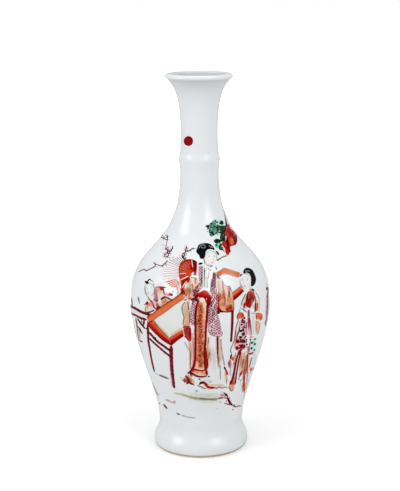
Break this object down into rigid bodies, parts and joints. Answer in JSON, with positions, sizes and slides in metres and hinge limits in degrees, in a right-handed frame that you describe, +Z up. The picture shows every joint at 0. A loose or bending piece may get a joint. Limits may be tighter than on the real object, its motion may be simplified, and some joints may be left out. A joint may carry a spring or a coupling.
{
  "type": "long-neck vase",
  "caption": "Porcelain vase with a baluster body, spreading foot, slender neck with a raised node and a flared mouth, luted from thrown sections, for holding stems.",
  "frame": {"origin": "centre of the foot rim's resting face", "axes": "+Z up along the vase's axis, towards the mouth; -Y is the painted front that the picture shows"},
  "size_m": [0.1042, 0.1042, 0.2799],
  "materials": {
    "porcelain": "glossy transparent glaze over fine white porcelain, faint cool tone",
    "slip": "fired porcelain slip, matte"
  },
  "bodies": {
    "root": {"foot_section": "porcelain", "waist_slip": "slip", "lower_body_section": "porcelain", "belly_slip": "slip", "shoulder_section": "porcelain", "shoulder_slip": "slip", "neck_section": "porcelain", "node_slip": "slip", "mouth_section": "porcelain"}
  },
  "joints": []
}
